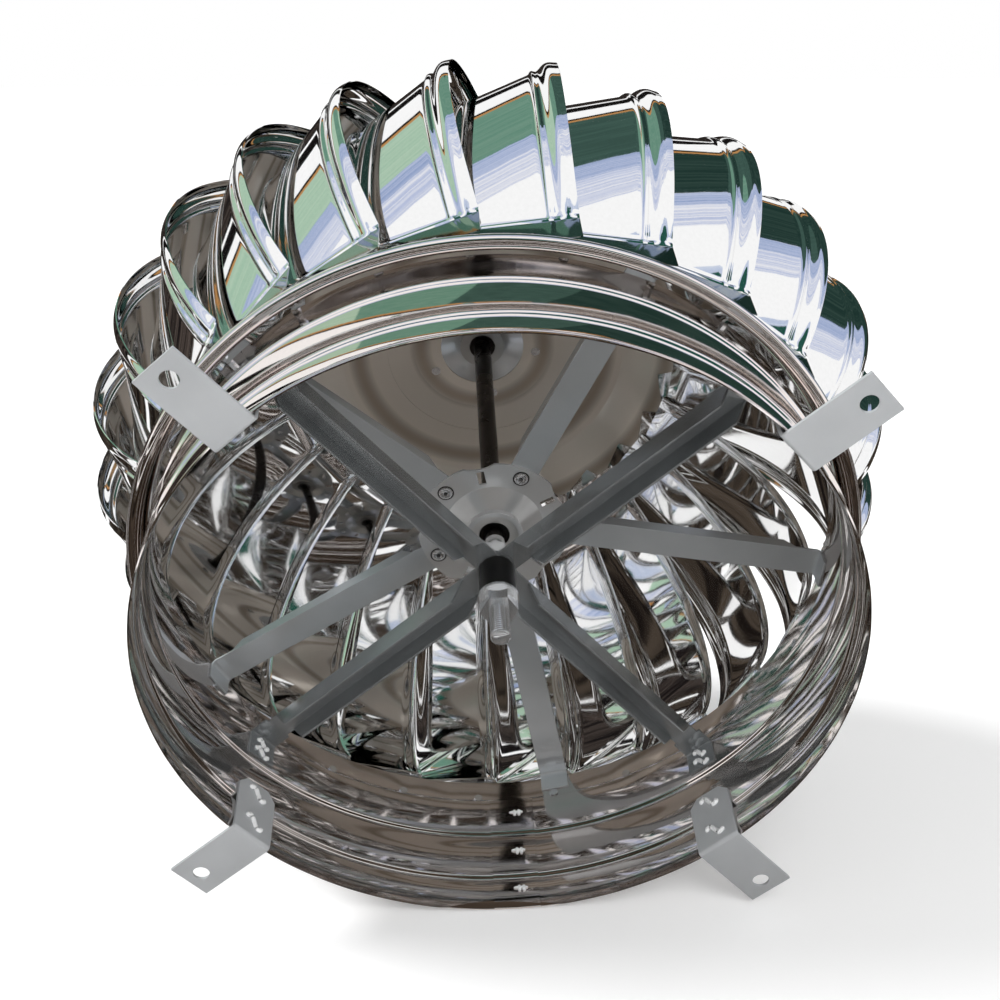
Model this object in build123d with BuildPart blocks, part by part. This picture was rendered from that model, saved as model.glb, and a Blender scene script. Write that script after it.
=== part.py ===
"""Rotating chimney cowl: a fixed sheet collar on four feet, and a head of curved wind vanes that
spins freely above it on a central shaft and two bearings.

Millimetres, +Z up. The origin is where the shaft axis meets the underside of the feet.
Azimuths are degrees from +X towards +Y."""

import os
from math import acos, asin, cos, degrees, radians, sin, sqrt

from build123d import *

os.makedirs("parts", exist_ok=True)

# Sheet thicknesses and clearances
wall_sheet = 0.8
vane_sheet = 0.6
bracket_sheet = 2.0
bar_sheet = 1.5
slip_gap = 0.1
bearing_gap = 0.3

# Collar
mouth_radius = 200.0
mouth_flare = 2.0
flare_height = 8.0
collar_top = 91.0
bead_heights = (24.5, 61.0)
bead_rise = 2.2
bead_half_width = 2.8

# Feet, welded inside the collar wall
foot_count = 4
foot_azimuth = 52.0
foot_width = 28.5
foot_overhang = 49.3
foot_hole_inset = 10.9
foot_hole_diameter = 10.0
foot_leg_top = 43.0
foot_leg_bevel = 6.0
foot_bend_radius = 2.6

# Crossed bars that hold the shaft
bar_width = 16.0
bar_tab_width = 20.0
bar_web_underside = 82.5
bar_flange_bottom = 70.0
bar_flange_start = 20.0
bar_flange_end = 176.0
bar_flange_slope = 9.0
bar_tab_bottom = 66.0
bar_tab_start = 183.0
bar_bend_radius = 2.6

# Shaft and what is clamped on it
shaft_diameter = 12.0
shaft_tip = 20.0
shaft_chamfer = 1.5
nut_across_flats = 19.0
nut_height = 10.0
lower_nut_bottom = 44.0
washer_diameter = 24.0
washer_height = 2.0
bush_diameter = 21.0
top_nut_height = 6.0
shaft_over_nut = 2.0
clip_diameter = 18.0
clip_height = 1.1

# Bearings, the same size at both ends, each pressed into the same pressed plate
bearing_diameter = 32.0
bearing_height = 10.0
bearing_race_radius = 9.0
plate_radius = 46.0
plate_sheet = 1.5
plate_cone_radius = 30.0
plate_cone_drop = 5.5
plate_boss_depth = 9.0
plate_lip_radius = 14.5
plate_slot_radius = 37.0
plate_slot_length = 9.0
plate_slot_width = 4.5
plate_scallop_radius = 24.0
plate_scallop_depth = 3.0
lower_plate_top = 126.5

# Skirt ring that carries the feet of the vanes, clear of the collar
ring_clearance = 2.3
ring_top = 111.0
ring_flare_top = 88.0
rim_radius = 4.2
rim_reach = 7.7
rim_drop = 5.6
rim_flats = 8

# Arms between the lower bearing plate and the skirt ring
arm_count = 5
arm_azimuth = 10.0
arm_width = 18.0
arm_flange_height = 8.0
arm_inner_end = 31.0
arm_flat_end = 50.0
arm_outer_underside = 113.0
arm_tab_bottom = 100.0
arm_bend_radius = 2.6
arm_flange_start = 52.0
arm_flange_end = 186.0

# Rivets, their rounds drawn with a few flats
rivet_flats = 8
hub_rivet_radius = 39.0
rivet_head_radius = 3.4
rivet_shank_radius = 2.0
rivet_head_height = 1.2
vane_rivet_radius = 2.8
vane_rivet_height = 96.5
vane_rivet_offset = 7.7

# Vanes: each one is a flat strip bent to one arc, set at an angle to the radius
vane_count = 25
vane_azimuth = 8.16
vane_crease_over_ring = 1.4
vane_arc_radius = 136.4
vane_arc_start = -47.4
vane_arc_end = 77.0
vane_outer_edge = 66.7
vane_width = 72.0
vane_tab_width = 24.0
vane_top_tab = 17.0
vane_skirt_bottom = 100.0
vane_tab_bottom = 90.0

# Roof of the head
roof_overhang = 12.0
roof_crease_radius = 102.0
roof_inner_radius = 69.0
roof_rise = 4.3
dish_lap = 9.0
dish_flat_radius = 50.0
dish_hole_radius = 30.0
cap_height = 14.0
cap_grip = 3.1

# Sizes worked out from those above
shaft_radius = shaft_diameter / 2
collar_wall_radius = mouth_radius - mouth_flare
collar_inner_radius = collar_wall_radius - wall_sheet
foot_reach = mouth_radius + foot_overhang
foot_hole_radius = foot_reach - foot_hole_inset
ring_inner_radius = collar_wall_radius + ring_clearance
ring_outer_radius = ring_inner_radius + wall_sheet
upper_bar_underside = bar_web_underside + bar_sheet
bush_bottom = lower_nut_bottom + nut_height + washer_height
upper_washer_bottom = upper_bar_underside + bar_sheet
upper_nut_bottom = upper_washer_bottom + washer_height
bearing_radius = bearing_diameter / 2
boss_radius = bearing_radius + plate_sheet
arm_tab_face = sqrt(ring_inner_radius**2 - (arm_width / 2) ** 2)
bar_tab_face = sqrt(collar_inner_radius**2 - (bar_tab_width / 2) ** 2)
foot_leg_face = sqrt(collar_inner_radius**2 - (foot_width / 2) ** 2)
vane_foot_radius = ring_outer_radius + vane_sheet
vane_arc_centre = (
    vane_foot_radius - vane_arc_radius * cos(radians(vane_arc_start)),
    ring_top + vane_crease_over_ring - vane_arc_radius * sin(radians(vane_arc_start)),
)
vane_end_radius = vane_arc_centre[0] + vane_arc_radius * cos(radians(vane_arc_end))
roof_underside = vane_arc_centre[1] + vane_arc_radius * sin(radians(vane_arc_end))
roof_slope = roof_rise / (roof_crease_radius - roof_inner_radius)
dish_flat_underside = roof_underside + wall_sheet + roof_slope * (roof_crease_radius - dish_flat_radius)
upper_plate_bottom = dish_flat_underside + wall_sheet
upper_bearing_top = upper_plate_bottom + plate_boss_depth
shaft_top = upper_bearing_top + top_nut_height + shaft_over_nut


def side_plane(azimuth, shift=0.0):
    """Upright plane with its x along the azimuth and its y up, moved sideways by shift."""
    along = Vector(cos(radians(azimuth)), sin(radians(azimuth)), 0)
    across = Vector(-along.Y, along.X, 0)
    return Plane(origin=across * shift, x_dir=along, z_dir=across * -1)


def level_plane(azimuth, height):
    """Level plane at a height with its x along the azimuth."""
    along = (cos(radians(azimuth)), sin(radians(azimuth)), 0)
    return Plane(origin=(0, 0, height), x_dir=along, z_dir=(0, 0, 1))


def facing_plane(azimuth, distance, height=0.0):
    """Upright plane at a distance from the axis that faces outwards, with its y up."""
    along = Vector(cos(radians(azimuth)), sin(radians(azimuth)), 0)
    across = Vector(-along.Y, along.X, 0)
    return Plane(origin=along * distance + Vector(0, 0, height), x_dir=across, z_dir=along)


def save(part, name):
    """Writes one finished piece as its own STEP file."""
    part.label = name
    export_step(part, f"parts/{name}.step")


# Collar: one rolled sheet with a flared mouth and two beads
collar_outline = [(mouth_radius, bracket_sheet), (collar_wall_radius, bracket_sheet + flare_height)]
for bead_height in bead_heights:
    collar_outline.append((collar_wall_radius, bead_height - bead_half_width))
    collar_outline.append((collar_wall_radius + bead_rise, bead_height))
    collar_outline.append((collar_wall_radius, bead_height + bead_half_width))
collar_outline.append((collar_wall_radius, collar_top))
with BuildPart() as collar:
    with BuildSketch(Plane.XZ):
        with BuildLine():
            outside = Polyline(*collar_outline)
            inside = Polyline(*[(radius - wall_sheet, height) for radius, height in collar_outline])
            Line(outside @ 0, inside @ 0)
            Line(outside @ 1, inside @ 1)
        make_face()
    revolve(axis=Axis.Z)
save(collar.part, "collar")

# Feet: bent straps with a bolt hole outside the collar
for number in range(foot_count):
    azimuth = foot_azimuth + number * 360 / foot_count
    with BuildPart() as foot_bracket:
        with BuildSketch(side_plane(azimuth)):
            with BuildLine():
                strap = FilletPolyline(
                    (foot_reach, 0),
                    (foot_leg_face - bracket_sheet, 0),
                    (foot_leg_face - bracket_sheet, foot_leg_top),
                    radius=foot_bend_radius,
                )
                offset(amount=bracket_sheet, side=Side.RIGHT)
            make_face()
        extrude(amount=foot_width / 2, both=True)
        with BuildSketch(level_plane(azimuth, 0)):
            with Locations((foot_hole_radius, 0)):
                Circle(foot_hole_diameter / 2)
        extrude(amount=bracket_sheet, mode=Mode.SUBTRACT)
        with BuildSketch(facing_plane(azimuth, foot_leg_face - bracket_sheet)):
            for side in (-1, 1):
                corner = (side * foot_width / 2, foot_leg_top)
                with BuildLine():
                    Polyline(
                        corner,
                        (corner[0] - side * foot_leg_bevel, foot_leg_top),
                        (corner[0], foot_leg_top - foot_leg_bevel),
                        close=True,
                    )
                make_face()
        extrude(amount=bracket_sheet, mode=Mode.SUBTRACT)
    save(foot_bracket.part, f"foot_bracket_{number + 1}")


def spider_bar(azimuth, web_underside):
    """Channel with its web on top, ended by tabs that turn down inside the collar."""
    web_top = web_underside + bar_sheet
    with BuildPart() as bar:
        with BuildSketch(side_plane(azimuth)):
            for side in (-1, 1):
                with BuildLine():
                    FilletPolyline(
                        (side * bar_tab_start, web_top),
                        (side * bar_tab_face, web_top),
                        (side * bar_tab_face, bar_tab_bottom),
                        radius=bar_bend_radius,
                    )
                    offset(amount=bar_sheet, side=Side.RIGHT if side > 0 else Side.LEFT)
                make_face()
        extrude(amount=bar_tab_width / 2, both=True)
        with BuildSketch(level_plane(azimuth, web_underside)):
            Rectangle(2 * bar_tab_start, bar_width)
            Circle(shaft_radius + slip_gap, mode=Mode.SUBTRACT)
        extrude(amount=bar_sheet)
        for shift in (bar_width / 2, bar_sheet - bar_width / 2):
            with BuildSketch(side_plane(azimuth, shift)):
                for side in (-1, 1):
                    with BuildLine():
                        Polyline(
                            (side * bar_flange_start, web_underside),
                            (side * (bar_flange_start + bar_flange_slope), bar_flange_bottom),
                            (side * (bar_flange_end - bar_flange_slope), bar_flange_bottom),
                            (side * bar_flange_end, web_underside),
                            close=True,
                        )
                    make_face()
            extrude(amount=bar_sheet)
    return bar.part


# The two bars cross at the shaft, one lying on the other
save(spider_bar(foot_azimuth, bar_web_underside), "spider_bar_lower")
save(spider_bar(foot_azimuth + 90, upper_bar_underside), "spider_bar_upper")

# Shaft, from the threaded tip to just over the top nut
with BuildPart() as shaft:
    with BuildSketch(Plane.XY.offset(shaft_tip)):
        Circle(shaft_radius)
    extrude(amount=shaft_top - shaft_tip)
    chamfer(shaft.faces().sort_by(Axis.Z)[0].edges(), shaft_chamfer)
save(shaft.part, "shaft")


def turned_ring(inner_radius, outer_radius, bottom, height):
    """Plain ring on the axis, such as a washer, a bush or one ring of a bearing."""
    with BuildPart() as ring:
        with BuildSketch(Plane.XY.offset(bottom)):
            Circle(outer_radius)
            Circle(inner_radius, mode=Mode.SUBTRACT)
        extrude(amount=height)
    return ring.part


def hex_nut(bottom, height):
    """Hexagon nut on the shaft."""
    with BuildPart() as nut:
        with BuildSketch(Plane.XY.offset(bottom)):
            RegularPolygon(nut_across_flats / 2, 6, major_radius=False)
            Circle(shaft_radius, mode=Mode.SUBTRACT)
        extrude(amount=height)
    return nut.part


# Stack that clamps the shaft to the bars, from the bottom up
washer_bottom = lower_nut_bottom + nut_height
washer_radius = washer_diameter / 2
save(hex_nut(lower_nut_bottom, nut_height), "lower_nut")
save(turned_ring(shaft_radius, washer_radius, washer_bottom, washer_height), "lower_washer")
save(
    turned_ring(shaft_radius, bush_diameter / 2, bush_bottom, bar_web_underside - bush_bottom),
    "spacer_bush",
)
save(turned_ring(shaft_radius, washer_radius, upper_washer_bottom, washer_height), "upper_washer")
save(hex_nut(upper_nut_bottom, nut_height), "upper_nut")

# Bearings: the inner rings stay with the shaft and the outer rings turn with the head
lower_bearing_bottom = lower_plate_top - plate_boss_depth
upper_bearing_bottom = upper_bearing_top - bearing_height
outer_ring_bore = bearing_race_radius + bearing_gap
for end, bearing_bottom in (("lower", lower_bearing_bottom), ("upper", upper_bearing_bottom)):
    inner_ring = turned_ring(shaft_radius, bearing_race_radius, bearing_bottom, bearing_height)
    outer_ring = turned_ring(outer_ring_bore, bearing_radius, bearing_bottom, bearing_height)
    save(inner_ring, f"{end}_bearing_inner_ring")
    save(outer_ring, f"{end}_bearing_outer_ring")

# Clip under the upper bearing, which carries the head, and the nut over it
clip_bottom = upper_bearing_bottom - clip_height
save(turned_ring(shaft_radius, clip_diameter / 2, clip_bottom, clip_height), "shaft_clip")
save(hex_nut(upper_bearing_top, top_nut_height), "top_nut")


def bearing_plate(flat_face, up):
    """Pressed plate with a boss for a bearing: flat_face is the height of its flat side, and
    up is 1 where the boss rises from it and -1 where it hangs."""
    with BuildPart() as plate:
        with BuildSketch(Plane.XZ):
            with BuildLine():
                Polyline(
                    (plate_radius, flat_face),
                    (plate_cone_radius, flat_face),
                    (bearing_radius, flat_face + up * plate_cone_drop),
                    (bearing_radius, flat_face + up * plate_boss_depth),
                    (plate_lip_radius, flat_face + up * plate_boss_depth),
                    (plate_lip_radius, flat_face + up * (plate_boss_depth + plate_sheet)),
                    (boss_radius, flat_face + up * (plate_boss_depth + plate_sheet)),
                    (boss_radius, flat_face + up * (plate_cone_drop + plate_sheet)),
                    (plate_cone_radius, flat_face + up * plate_sheet),
                    (plate_radius, flat_face + up * plate_sheet),
                    close=True,
                )
            make_face()
        revolve(axis=Axis.Z)
        with BuildSketch(level_plane(arm_azimuth, flat_face)):
            with PolarLocations(hub_rivet_radius, arm_count):
                RegularPolygon(rivet_shank_radius, rivet_flats)
            with PolarLocations(plate_slot_radius, arm_count, start_angle=180 / arm_count):
                Rectangle(plate_slot_length, plate_slot_width)
            scallop_distance = plate_radius + plate_scallop_radius - plate_scallop_depth
            with PolarLocations(scallop_distance, arm_count, start_angle=180 / arm_count):
                Circle(plate_scallop_radius)
        extrude(amount=up * plate_sheet, mode=Mode.SUBTRACT)
    return plate.part


save(bearing_plate(lower_plate_top, -1), "lower_bearing_plate")
save(bearing_plate(upper_plate_bottom, 1), "upper_bearing_plate")

# Skirt ring: rolled wall that flares out to a wired rim, its round drawn with a few flats
rim_centre = (ring_outer_radius + rim_reach, ring_flare_top - rim_drop)
with BuildPart() as skirt_ring:
    with BuildSketch(Plane.XZ):
        with BuildLine():
            Polyline(
                (ring_inner_radius, ring_top),
                (ring_outer_radius, ring_top),
                (ring_outer_radius, ring_flare_top),
                (rim_centre[0], rim_centre[1] + rim_radius / 2),
                (rim_centre[0] - rim_radius / 2, rim_centre[1]),
                (ring_inner_radius, ring_flare_top - wall_sheet),
                close=True,
            )
        make_face()
        with Locations(rim_centre):
            RegularPolygon(rim_radius, rim_flats, rotation=180 / rim_flats)
    revolve(axis=Axis.Z)
save(skirt_ring.part, "skirt_ring")

# Arms: channels that lie flat on the lower bearing plate and slope down to the skirt ring
arm_azimuths = [arm_azimuth + number * 360 / arm_count for number in range(arm_count)]
arm_slope = (lower_plate_top - arm_outer_underside) / (arm_tab_face - arm_flat_end)
arm_flange_heights = [
    lower_plate_top - arm_slope * (radius - arm_flat_end)
    for radius in (arm_flange_start, arm_flange_end)
]
for number, azimuth in enumerate(arm_azimuths):
    with BuildPart() as arm:
        with BuildSketch(side_plane(azimuth)):
            with BuildLine():
                FilletPolyline(
                    (arm_inner_end, lower_plate_top),
                    (arm_flat_end, lower_plate_top),
                    (arm_tab_face - bar_sheet, arm_outer_underside),
                    (arm_tab_face - bar_sheet, arm_tab_bottom),
                    radius=arm_bend_radius,
                )
                offset(amount=bar_sheet, side=Side.LEFT)
            make_face()
        extrude(amount=arm_width / 2, both=True)
        for shift in (arm_width / 2, bar_sheet - arm_width / 2):
            with BuildSketch(side_plane(azimuth, shift)):
                with BuildLine():
                    Polyline(
                        (arm_flange_start, arm_flange_heights[0]),
                        (arm_flange_start + arm_flange_height, arm_flange_heights[0] + arm_flange_height),
                        (arm_flange_end - arm_flange_height, arm_flange_heights[1] + arm_flange_height),
                        (arm_flange_end, arm_flange_heights[1]),
                        close=True,
                    )
                make_face()
            extrude(amount=bar_sheet)
        with BuildSketch(level_plane(azimuth, lower_plate_top)):
            with Locations((hub_rivet_radius, 0)):
                RegularPolygon(rivet_shank_radius, rivet_flats)
        extrude(amount=bar_sheet, mode=Mode.SUBTRACT)
    save(arm.part, f"arm_{number + 1}")


def vane(azimuth):
    """One vane: a strip on an arc with a foot tab on the skirt ring and a tab under the roof."""
    centre_radius, centre_height = vane_arc_centre
    inner_arc_radius = vane_arc_radius - vane_sheet
    inner_arc_start = -degrees(acos((ring_outer_radius - centre_radius) / inner_arc_radius))
    under_tab = roof_underside - vane_sheet
    inner_arc_end = degrees(asin((under_tab - centre_height) / inner_arc_radius))
    tab_end = vane_end_radius - vane_top_tab
    with BuildPart() as strip:
        with BuildSketch(side_plane(azimuth, vane_outer_edge)):
            with BuildLine():
                outer_arc = CenterArc(
                    vane_arc_centre, vane_arc_radius, vane_arc_start, vane_arc_end - vane_arc_start
                )
                inner_arc = CenterArc(
                    vane_arc_centre, inner_arc_radius, inner_arc_start, inner_arc_end - inner_arc_start
                )
                Polyline(outer_arc @ 1, (tab_end, roof_underside), (tab_end, under_tab), inner_arc @ 1)
                Polyline(
                    inner_arc @ 0,
                    (ring_outer_radius, vane_tab_bottom),
                    (vane_foot_radius, vane_tab_bottom),
                    outer_arc @ 0,
                )
            make_face()
        extrude(amount=vane_width)
        with BuildSketch(side_plane(azimuth, vane_outer_edge)):
            with Locations((vane_foot_radius, (vane_skirt_bottom + vane_tab_bottom) / 2)):
                Rectangle(4 * vane_sheet, vane_skirt_bottom - vane_tab_bottom)
            with Locations((tab_end + vane_top_tab / 2, roof_underside)):
                Rectangle(vane_top_tab, 4 * vane_sheet)
        extrude(amount=vane_width - vane_tab_width, mode=Mode.SUBTRACT)
    return strip.part


vane_azimuths = [vane_azimuth + number * 360 / vane_count for number in range(vane_count)]
for number, azimuth in enumerate(vane_azimuths):
    save(vane(azimuth), f"vane_{number + 1:02d}")


def sheet_disc(outline):
    """Sheet turned about the axis from the outline of its underside."""
    with BuildPart() as disc:
        with BuildSketch(Plane.XZ):
            with BuildLine():
                under = Polyline(*outline)
                over = Polyline(*[(radius, height + wall_sheet) for radius, height in outline])
                Line(under @ 0, over @ 0)
                Line(under @ 1, over @ 1)
            make_face()
        revolve(axis=Axis.Z)
    return disc.part


# Roof: a flat rim over the vanes, then a shallow cone
roof_outline = [
    (vane_end_radius + roof_overhang, roof_underside),
    (roof_crease_radius, roof_underside),
    (roof_inner_radius, roof_underside + roof_rise),
]
save(sheet_disc(roof_outline), "roof_plate")

# Dish that laps over the roof plate and carries the upper bearing plate
lap_radius = roof_inner_radius + dish_lap
lap_height = roof_underside + wall_sheet + roof_slope * (roof_crease_radius - lap_radius)
dish_outline = [
    (lap_radius, lap_height),
    (dish_flat_radius, dish_flat_underside),
    (dish_hole_radius, dish_flat_underside),
]
with BuildPart() as roof_dish:
    add(sheet_disc(dish_outline))
    with BuildSketch(level_plane(arm_azimuth, dish_flat_underside)):
        with PolarLocations(hub_rivet_radius, arm_count):
            RegularPolygon(rivet_shank_radius, rivet_flats)
    extrude(amount=wall_sheet, mode=Mode.SUBTRACT)
save(roof_dish.part, "roof_dish")

# Cap pressed over the boss of the upper bearing plate
cap_bottom = upper_plate_bottom + plate_boss_depth + plate_sheet - cap_grip
with BuildPart() as bearing_cap:
    with BuildSketch(Plane.XY.offset(cap_bottom)):
        Circle(boss_radius + wall_sheet)
    extrude(amount=cap_height)
    with BuildSketch(Plane.XY.offset(cap_bottom)):
        Circle(boss_radius)
    extrude(amount=cap_height - wall_sheet, mode=Mode.SUBTRACT)
save(bearing_cap.part, "bearing_cap")


def rivets(planes, grip):
    """Rivets that start on the planes and go through the grip, with a head at each end."""
    with BuildPart() as group:
        for plane in planes:
            with BuildSketch(plane):
                RegularPolygon(rivet_head_radius, rivet_flats)
            extrude(amount=-rivet_head_height)
            with BuildSketch(plane):
                RegularPolygon(rivet_shank_radius, rivet_flats)
            extrude(amount=grip)
            with BuildSketch(plane.offset(grip)):
                RegularPolygon(rivet_head_radius, rivet_flats)
            extrude(amount=rivet_head_height)
    return group.part


def hub_planes(height):
    """Upward planes at the rivet holes of a bearing plate, turned as the holes are."""
    planes = []
    for azimuth in arm_azimuths:
        plane = level_plane(azimuth, height)
        planes.append(
            Plane(plane.from_local_coords((hub_rivet_radius, 0, 0)), x_dir=plane.x_dir, z_dir=plane.z_dir)
        )
    return planes


# Rivets through the bearing plates
lower_grip = plate_sheet + bar_sheet
upper_grip = wall_sheet + plate_sheet
save(rivets(hub_planes(lower_plate_top - plate_sheet), lower_grip), "lower_plate_rivets")
save(rivets(hub_planes(dish_flat_underside), upper_grip), "upper_plate_rivets")

# Heads of the rivets in the vane feet, on the inside of the skirt ring
vane_rivet_turn = degrees(asin(vane_rivet_offset / ring_inner_radius))
vane_rivet_face = sqrt(ring_inner_radius**2 - vane_rivet_radius**2)
with BuildPart() as vane_foot_rivets:
    for azimuth in vane_azimuths:
        with BuildSketch(facing_plane(azimuth + vane_rivet_turn, vane_rivet_face, vane_rivet_height)):
            RegularPolygon(vane_rivet_radius, rivet_flats)
        extrude(amount=-rivet_head_height)
save(vane_foot_rivets.part, "vane_foot_rivets")
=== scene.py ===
"""Rotating chimney cowl, dressed for its picture: polished stainless head and collar, zinc-plated
feet, bars and arms, and a bearing shaft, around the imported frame.

Lengths are in millimetres until a mesh is made, and azimuths are degrees from +X towards +Y."""

from math import atan2, cos, hypot, pi, radians, sin, tan

import bmesh
import bpy
from mathutils import Matrix, Vector, noise


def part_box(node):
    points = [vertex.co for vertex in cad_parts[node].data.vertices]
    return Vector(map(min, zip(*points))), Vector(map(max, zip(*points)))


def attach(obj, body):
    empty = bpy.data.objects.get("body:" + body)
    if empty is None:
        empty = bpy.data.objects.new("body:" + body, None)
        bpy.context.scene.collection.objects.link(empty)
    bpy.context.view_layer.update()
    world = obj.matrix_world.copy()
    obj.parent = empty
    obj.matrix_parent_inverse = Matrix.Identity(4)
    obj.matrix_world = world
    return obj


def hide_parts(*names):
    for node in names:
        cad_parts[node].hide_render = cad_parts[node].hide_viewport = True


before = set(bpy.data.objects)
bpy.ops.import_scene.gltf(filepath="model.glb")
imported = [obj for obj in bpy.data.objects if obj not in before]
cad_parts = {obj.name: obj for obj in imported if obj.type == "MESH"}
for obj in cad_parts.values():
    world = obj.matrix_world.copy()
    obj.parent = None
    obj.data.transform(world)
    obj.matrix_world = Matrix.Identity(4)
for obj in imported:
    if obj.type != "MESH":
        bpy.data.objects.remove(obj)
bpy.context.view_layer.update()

MM = 0.001

# Sheets
wall_sheet = 0.8
vane_sheet = 0.6
fine_round = 320

# Collar
mouth_radius = 200.0
collar_radius = 198.0
collar_bottom = 2.0
collar_top = 91.0
flare_top = 10.0
bead_heights = (24.5, 61.0)
bead_rise = 2.2
bead_half_width = 3.4
seam_azimuth = (86.5, 94.7)
seam_weld_azimuth = 89.8
seam_weld_heights = (15.0, 46.0, 79.0)

# Skirt ring
ring_outer = 201.1
ring_top = 111.0
ring_flare_top = 88.0
rim_centre = (208.8, 82.4)
rim_radius = 4.2

# Vanes
vane_count = 25
vane_azimuth = 8.16
vane_outer_edge = 66.7
vane_width = 72.0
vane_arc_radius = 136.4
vane_arc_start = -47.4
vane_arc_end = 77.0
vane_lean = 21.0
vane_foot = ring_outer + vane_sheet
vane_arc_u = vane_foot - vane_arc_radius * cos(radians(vane_arc_start))
vane_crease = ring_top + 1.4
vane_arc_z = vane_crease - vane_arc_radius * sin(radians(vane_arc_start))
vane_tab_width = 24.0
vane_top_tab = 17.0
vane_skirt_bottom = 100.0
bead_drop = 2.4
# Ridges across a vane: distance from its outer edge, half width, rise and flatness
vane_ridges = ((5.9, 6.6, 2.4, 0.75), (15.2, 2.6, 1.5, 1.0), (70.3, 2.2, 1.4, 1.0))
vane_tab_bottom = 90.0

# Roof
roof_inset = 12.0
roof_underside = vane_arc_z + vane_arc_radius * sin(radians(vane_arc_end))
roof_edge = vane_arc_u + vane_arc_radius * cos(radians(vane_arc_end)) + roof_inset

# Shaft
thread_pitch = 1.75
thread_depth = 1.2
shaft_radius = 6.0
shaft_bottom = 20.0
lower_thread_top = 62
upper_thread = 16
dark_from = 108

# Rivets through the hub
hub_rivet_circle = 39.0
hub_rivet_azimuth = 10.0
hub_rivet_count = 5
# Inside the hole and outside the flange the rivets take painted shade
rivet_hole = 1.2
rivet_flange = 4.25

# Feet, arms and welds
foot_azimuth = 52.0
foot_count = 4
arm_count = 5
edge_round = 0.35
leg_face = 194.6
tab_face = 195.4
seam_face = 195.9
foot_weld_heights = (12.0, 35.0)
tab_weld_sizes = ((71.0, 11.0), (78.5, 9.0))

# Level of light
floor_lift = 0.22
shade_level = 0.42

# Span of a mask over which a colour or a roughness changes
mask_low = 0.3
mask_high = 0.7


# Shader groups


def new_group(name, inputs, outputs):
    """Empty shader group with its named sockets; gives the tree and its two end nodes."""
    tree = bpy.data.node_groups.new(name, "ShaderNodeTree")
    for label, kind, value in inputs:
        socket = tree.interface.new_socket(name=label, in_out="INPUT", socket_type=kind)
        if value is not None:
            socket.default_value = value
    for label, kind in outputs:
        tree.interface.new_socket(name=label, in_out="OUTPUT", socket_type=kind)
    return tree, tree.nodes.new("NodeGroupInput"), tree.nodes.new("NodeGroupOutput")


def maths(tree, operation, first, second):
    """Math node between two values or sockets; gives its result."""
    node = tree.nodes.new("ShaderNodeMath")
    node.operation = operation
    for slot, value in zip(node.inputs, (first, second)):
        if isinstance(value, (int, float)):
            slot.default_value = value
        else:
            tree.links.new(value, slot)
    return node.outputs[0]


def make_rolled_sheet():
    """Long soft waves of rolled sheet, and a much finer grain, as one height in metres."""
    tree, given, result = new_group(
        "rolled_sheet",
        [("Wave Size", "NodeSocketFloat", 9.0), ("Wave", "NodeSocketFloat", 0.5)],
        [("Height", "NodeSocketFloat"), ("Mottle", "NodeSocketFloat")],
    )
    place = tree.nodes.new("ShaderNodeTexCoord")
    wave = tree.nodes.new("ShaderNodeTexNoise")
    wave.inputs["Detail"].default_value = 2.0
    wave.inputs["Roughness"].default_value = 0.35
    tree.links.new(place.outputs["Object"], wave.inputs["Vector"])
    tree.links.new(given.outputs["Wave Size"], wave.inputs["Scale"])
    grain = tree.nodes.new("ShaderNodeTexNoise")
    grain.inputs["Scale"].default_value = 420.0
    grain.inputs["Detail"].default_value = 3.0
    tree.links.new(place.outputs["Object"], grain.inputs["Vector"])
    raised = maths(tree, "MULTIPLY", wave.outputs[0], given.outputs["Wave"])
    fine = maths(tree, "MULTIPLY", grain.outputs[0], 0.001)
    tree.links.new(maths(tree, "ADD", raised, fine), result.inputs["Height"])
    tree.links.new(grain.outputs[0], result.inputs["Mottle"])
    return tree


def make_spangle():
    """Cloudy crystals of a zinc coat: a mask for its shade and a height."""
    tree, given, result = new_group(
        "zinc_spangle",
        [("Size", "NodeSocketFloat", 260.0)],
        [("Shade", "NodeSocketFloat"), ("Height", "NodeSocketFloat")],
    )
    place = tree.nodes.new("ShaderNodeTexCoord")
    cells = tree.nodes.new("ShaderNodeTexVoronoi")
    tree.links.new(place.outputs["Object"], cells.inputs["Vector"])
    tree.links.new(given.outputs["Size"], cells.inputs["Scale"])
    cloud = tree.nodes.new("ShaderNodeTexNoise")
    cloud.inputs["Scale"].default_value = 38.0
    cloud.inputs["Detail"].default_value = 2.0
    tree.links.new(place.outputs["Object"], cloud.inputs["Vector"])
    tone = tree.nodes.new("ShaderNodeSeparateColor")
    tree.links.new(cells.outputs["Color"], tone.inputs[0])
    crystal = maths(tree, "MULTIPLY", tone.outputs[0], 0.05)
    haze = maths(tree, "MULTIPLY", cloud.outputs[0], 0.95)
    mixed = maths(tree, "ADD", crystal, haze)
    tree.links.new(mixed, result.inputs["Shade"])
    tree.links.new(mixed, result.inputs["Height"])
    return tree


rolled_sheet = make_rolled_sheet()
zinc_spangle = make_spangle()


def use_group(tree, group, **values):
    """Places a shader group in a material with its own values."""
    node = tree.nodes.new("ShaderNodeGroup")
    node.node_tree = group
    for key, value in values.items():
        node.inputs[key.replace("_", " ").title()].default_value = value
    return node


def new_material(name, roughness, metallic=1.0):
    """Empty material with one Principled shader; gives the material and the shader."""
    material = bpy.data.materials.new(name)
    material.use_nodes = True
    shader = material.node_tree.nodes["Principled BSDF"]
    shader.inputs["Metallic"].default_value = metallic
    shader.inputs["Roughness"].default_value = roughness
    return material, shader


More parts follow.
